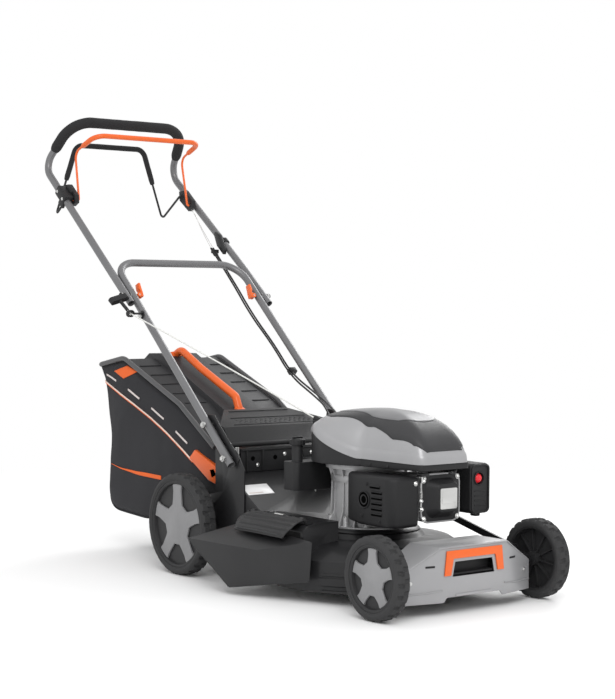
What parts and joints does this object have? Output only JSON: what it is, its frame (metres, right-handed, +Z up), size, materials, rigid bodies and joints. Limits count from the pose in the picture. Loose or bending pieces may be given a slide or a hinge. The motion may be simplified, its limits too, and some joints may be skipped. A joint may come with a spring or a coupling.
{
  "type": "push lawn mower",
  "caption": "Walk-behind petrol lawn mower with a steel deck, folding tube handle, rear grass bag and side chute.",
  "frame": {"origin": "on the ground straight below the crankshaft, at the lowest cutting height", "axes": "+Z up, -Y is the way the mower drives, +X is the mower's left side"},
  "size_m": [0.663, 1.754, 1.3175],
  "materials": {
    "tyre_rubber": "matt rubber with a moulded tread",
    "rim_plastic": "moulded dark plastic",
    "hub_grey": "satin light grey plastic",
    "deck_black": "gloss black powder coat",
    "cover_silver": "silver grey moulded plastic, semi gloss",
    "orange_plastic": "orange moulded plastic, semi gloss",
    "bracket_black": "black painted steel",
    "black_plastic": "black moulded plastic, fine grain",
    "bright_metal": "zinc plated steel",
    "cast_aluminium": "die cast aluminium",
    "guard_black": "heat proof black paint",
    "tube_grey": "silver grey powder coat",
    "foam_black": "closed cell foam",
    "bag_fabric": "woven charcoal polyester",
    "primer_red": "translucent red rubber",
    "cable_black": "smooth black sheath",
    "rope_white": "braided white cord"
  },
  "bodies": {
    "chassis": {"deck_shell": "deck_black", "front_cover": "cover_silver", "front_handle_trim": "orange_plastic", "handle_brackets": "bracket_black", "flap_rods": "bright_metal", "discharge_chute": "black_plastic", "crankcase": "cast_aluminium", "cylinder_head": "cast_aluminium", "valve_cover": "cast_aluminium", "muffler": "bright_metal", "muffler_guard": "guard_black", "carburettor": "black_plastic", "air_filter_box": "black_plastic", "blower_housing": "black_plastic", "engine_cover": "cover_silver", "fuel_tank": "black_plastic", "lower_handle": "tube_grey", "handle_bolts": "bright_metal", "rope_guide": "bracket_black", "control_cables": "cable_black", "starter_rope": "rope_white"},
    "crank": {"crankshaft": "bright_metal", "flywheel": "cast_aluminium", "blade": "bright_metal", "blade_bolt": "bright_metal"},
    "rear_axle_set": {"rear_axle": "bracket_black", "height_lever": "bracket_black", "drive_gearbox": "cast_aluminium"},
    "front_axle_set": {"front_axle": "bracket_black"},
    "height_link_bar": {"height_link": "bracket_black"},
    "front_right_wheel": {"front_right_tyre": "tyre_rubber", "front_right_rim": "rim_plastic", "front_right_hub_cap": "hub_grey"},
    "front_left_wheel": {"front_left_tyre": "tyre_rubber", "front_left_rim": "rim_plastic", "front_left_hub_cap": "hub_grey"},
    "rear_right_wheel": {"rear_right_tyre": "tyre_rubber", "rear_right_rim": "rim_plastic", "rear_right_hub_cap": "hub_grey"},
    "rear_left_wheel": {"rear_left_tyre": "tyre_rubber", "rear_left_rim": "rim_plastic", "rear_left_hub_cap": "hub_grey"},
    "rear_flap": {"rear_flap": "black_plastic"},
    "side_flap": {"side_flap": "black_plastic"},
    "grass_bag": {"bag_fabric": "bag_fabric", "bag_top": "black_plastic", "bag_carry_handle": "orange_plastic", "bag_frame": "tube_grey", "bag_end_caps": "orange_plastic"},
    "upper_handle": {"upper_handle": "tube_grey", "handle_grip": "foam_black", "bail_housings": "black_plastic"},
    "left_cam_lever": {"left_cam_lever": "orange_plastic"},
    "right_cam_lever": {"right_cam_lever": "orange_plastic"},
    "brake_bail": {"brake_bail": "bracket_black"},
    "drive_bail": {"drive_bail": "orange_plastic"},
    "primer_bulb": {"primer_bulb": "primer_red"},
    "fuel_cap": {"fuel_cap": "black_plastic"},
    "dipstick": {"dipstick": "black_plastic"},
    "starter_handle": {"starter_handle": "black_plastic"}
  },
  "joints": [
    {"name": "crank_spin", "type": "hinge", "parent": "chassis", "child": "crank", "pos_m": [0, 0, 0.2], "axis": [0, 0, 1], "continuous": true},
    {"name": "height_set", "type": "hinge", "parent": "chassis", "child": "rear_axle_set", "pos_m": [0, 0.521, 0.114], "axis": [1, 0, 0], "range_deg": [0, 60]},
    {"name": "front_height", "type": "hinge", "parent": "chassis", "child": "front_axle_set", "pos_m": [0, -0.307, 0.0765], "axis": [1, 0, 0], "range_deg": [0, 60]},
    {"name": "link_swing", "type": "hinge", "parent": "rear_axle_set", "child": "height_link_bar", "pos_m": [0.226, 0.521, 0.164], "axis": [1, 0, 0], "range_deg": [-60, 0]},
    {"name": "front_right_spin", "type": "hinge", "parent": "front_axle_set", "child": "front_right_wheel", "pos_m": [-0.268, -0.35, 0.1015], "axis": [1, 0, 0], "continuous": true},
    {"name": "front_left_spin", "type": "hinge", "parent": "front_axle_set", "child": "front_left_wheel", "pos_m": [0.268, -0.35, 0.1015], "axis": [1, 0, 0], "continuous": true},
    {"name": "rear_right_spin", "type": "hinge", "parent": "rear_axle_set", "child": "rear_right_wheel", "pos_m": [-0.266, 0.478, 0.139], "axis": [1, 0, 0], "continuous": true},
    {"name": "rear_left_spin", "type": "hinge", "parent": "rear_axle_set", "child": "rear_left_wheel", "pos_m": [0.266, 0.478, 0.139], "axis": [1, 0, 0], "continuous": true},
    {"name": "rear_flap_swing", "type": "hinge", "parent": "chassis", "child": "rear_flap", "pos_m": [0, 0.35, 0.361], "axis": [1, 0, 0], "range_deg": [0, 25], "stiffness_Nm_per_rad": 1, "springref_deg": -17.19},
    {"name": "side_flap_swing", "type": "hinge", "parent": "chassis", "child": "side_flap", "pos_m": [-0.242, 0.07, 0.201], "axis": [0, 1, 0], "range_deg": [0, 60], "stiffness_Nm_per_rad": 0.4, "springref_deg": -17.19},
    {"name": "bag_slide", "type": "slide", "parent": "chassis", "child": "grass_bag", "axis": [0, 0.896, 0.444], "range_m": [0, 0.25]},
    {"name": "handle_fold", "type": "hinge", "parent": "chassis", "child": "upper_handle", "pos_m": [0, 0.80014, 0.765], "axis": [1, 0, 0], "range_deg": [0, 135]},
    {"name": "left_cam_turn", "type": "hinge", "parent": "chassis", "child": "left_cam_lever", "pos_m": [0.206, 0.80014, 0.765], "axis": [0, -0.908, 0.4191], "range_deg": [0, 90]},
    {"name": "right_cam_turn", "type": "hinge", "parent": "chassis", "child": "right_cam_lever", "pos_m": [-0.206, 0.80014, 0.765], "axis": [0, 0.908, -0.4191], "range_deg": [0, 90]},
    {"name": "brake_bail_swing", "type": "hinge", "parent": "upper_handle", "child": "brake_bail", "pos_m": [0, 1.19485, 1.088], "axis": [1, 0, 0], "range_deg": [0, 30], "stiffness_Nm_per_rad": 1.2, "springref_deg": -20.05},
    {"name": "drive_bail_swing", "type": "hinge", "parent": "upper_handle", "child": "drive_bail", "pos_m": [0, 1.15174, 1.056], "axis": [-1, 0, 0], "range_deg": [0, 28], "stiffness_Nm_per_rad": 1, "springref_deg": -20.05},
    {"name": "primer_press", "type": "slide", "parent": "chassis", "child": "primer_bulb", "axis": [0, 1, 0], "range_m": [0, 0.006], "stiffness_N_per_m": 800},
    {"name": "fuel_cap_turn", "type": "hinge", "parent": "chassis", "child": "fuel_cap", "pos_m": [-0.142, 0.122, 0.38], "axis": [0, 0, 1], "range_deg": [0, 120]},
    {"name": "dipstick_pull", "type": "slide", "parent": "chassis", "child": "dipstick", "axis": [0.7036, 0.0995, 0.7036], "range_m": [0, 0.12]},
    {"name": "starter_pull", "type": "slide", "parent": "chassis", "child": "starter_handle", "axis": [-0.215, 0.699, 0.682], "range_m": [0, 0.5], "stiffness_N_per_m": 15, "springref_m": -0.6}
  ],
  "couplings": [
    {"joint": "front_height", "follows": "height_set", "ratio": 1},
    {"joint": "link_swing", "follows": "height_set", "ratio": -1}
  ]
}
